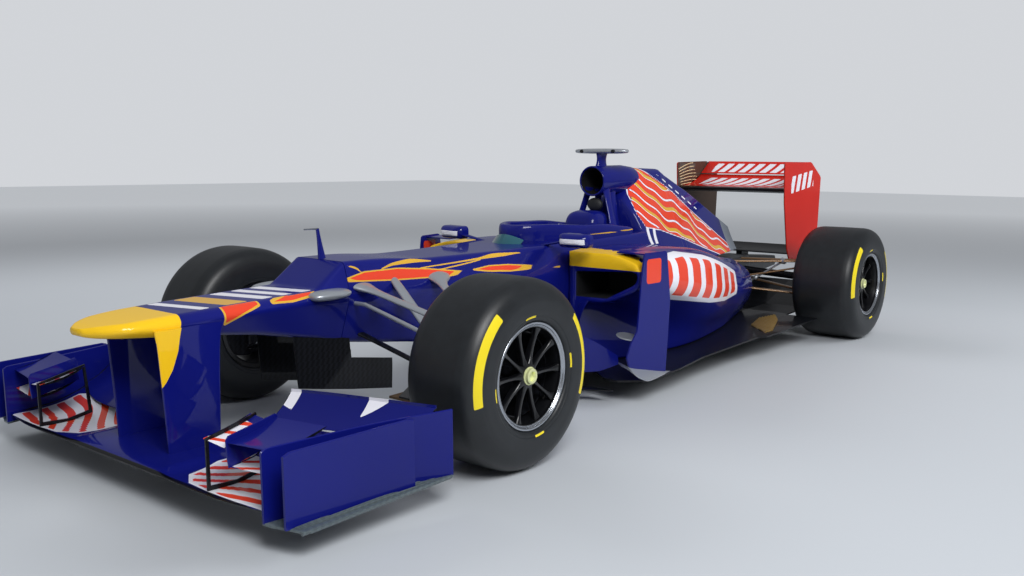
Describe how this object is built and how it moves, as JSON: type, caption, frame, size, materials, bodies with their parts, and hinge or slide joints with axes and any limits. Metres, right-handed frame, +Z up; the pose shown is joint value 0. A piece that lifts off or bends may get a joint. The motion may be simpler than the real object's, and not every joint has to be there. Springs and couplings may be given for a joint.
{
  "type": "open wheel racing car",
  "caption": "Open wheel racing car with a stepped nose, wide front wing, tall side pods and a rear wing whose flap opens.",
  "frame": {"origin": "on the floor, under the middle of the car's box", "axes": "+X forward, +Y to the car's left, +Z up"},
  "size_m": [4.9282, 1.8, 1.1058],
  "materials": {
    "blue_paint": "gloss",
    "red_paint": "gloss",
    "carbon_fibre": "satin",
    "silver_paint": "satin",
    "cast_metal": "cast",
    "tyre_rubber": "satin",
    "magnesium_rim": "satin",
    "plank_board": "matte"
  },
  "bodies": {
    "car": {"monocoque": "blue_paint", "nose_cone": "blue_paint", "front_wing_main": "blue_paint", "front_wing_flaps": "blue_paint", "front_wing_endplates": "blue_paint", "front_wing_cascades": "blue_paint", "cockpit_surround": "blue_paint", "roll_hoop": "blue_paint", "engine_cover": "blue_paint", "sidepod_left": "blue_paint", "sidepod_right": "blue_paint", "floor": "carbon_fibre", "plank": "plank_board", "turning_vanes": "blue_paint", "bargeboards": "blue_paint", "pod_vanes": "blue_paint", "mirrors": "blue_paint", "camera_pod": "silver_paint", "nose_cameras": "silver_paint", "rear_wing_endplates": "red_paint", "rear_wing_main": "red_paint", "beam_wing": "carbon_fibre", "crash_structure": "carbon_fibre", "gearbox": "cast_metal", "engine_block": "cast_metal", "exhausts": "cast_metal", "seat": "carbon_fibre", "front_wishbones": "silver_paint", "rear_wishbones": "carbon_fibre", "drive_shafts": "carbon_fibre", "upright_rear_left": "carbon_fibre", "upright_rear_right": "carbon_fibre"},
    "steering_wheel": {"steering_wheel": "carbon_fibre"},
    "rack": {"steering_rack": "silver_paint"},
    "knuckle_left": {"knuckle_front_left": "carbon_fibre"},
    "knuckle_right": {"knuckle_front_right": "carbon_fibre"},
    "drs_flap": {"drs_flap": "red_paint"},
    "wheel_front_left": {"tyre_front_left": "tyre_rubber", "rim_front_left": "magnesium_rim"},
    "wheel_front_right": {"tyre_front_right": "tyre_rubber", "rim_front_right": "magnesium_rim"},
    "wheel_rear_left": {"tyre_rear_left": "tyre_rubber", "rim_rear_left": "magnesium_rim"},
    "wheel_rear_right": {"tyre_rear_right": "tyre_rubber", "rim_rear_right": "magnesium_rim"}
  },
  "joints": [
    {"name": "steering_turn", "type": "hinge", "parent": "car", "child": "steering_wheel", "pos_m": [0.26553, 0, 0.52792], "axis": [-0.9443, 0, 0.3291], "range_deg": [-180, 180]},
    {"name": "rack_slide", "type": "slide", "parent": "car", "child": "rack", "axis": [0, 1, 0], "range_m": [-0.0265, 0.0265]},
    {"name": "steer_left", "type": "hinge", "parent": "car", "child": "knuckle_left", "pos_m": [1.36511, 0.672, 0.33], "axis": [0, 0, 1], "range_deg": [-13.7, 13.7]},
    {"name": "steer_right", "type": "hinge", "parent": "car", "child": "knuckle_right", "pos_m": [1.36511, -0.672, 0.33], "axis": [0, 0, 1], "range_deg": [-13.7, 13.7]},
    {"name": "spin_front_left", "type": "hinge", "parent": "knuckle_left", "child": "wheel_front_left", "pos_m": [1.36511, 0.746, 0.33], "axis": [0, 1, 0], "continuous": true},
    {"name": "spin_front_right", "type": "hinge", "parent": "knuckle_right", "child": "wheel_front_right", "pos_m": [1.36511, -0.746, 0.33], "axis": [0, 1, 0], "continuous": true},
    {"name": "spin_rear_left", "type": "hinge", "parent": "car", "child": "wheel_rear_left", "pos_m": [-1.89489, 0.7075, 0.33], "axis": [0, 1, 0], "continuous": true},
    {"name": "spin_rear_right", "type": "hinge", "parent": "car", "child": "wheel_rear_right", "pos_m": [-1.89489, -0.7075, 0.33], "axis": [0, 1, 0], "continuous": true},
    {"name": "drs_turn", "type": "hinge", "parent": "car", "child": "drs_flap", "pos_m": [-2.18693, 0, 1.03577], "axis": [0, -1, 0], "range_deg": [0, 20]}
  ],
  "couplings": [
    {"joint": "rack_slide", "follows": "steering_turn", "m_per_rad": 0.0074308},
    {"joint": "steer_left", "follows": "steering_turn", "ratio": 0.075},
    {"joint": "steer_right", "follows": "steering_turn", "ratio": 0.075}
  ]
}
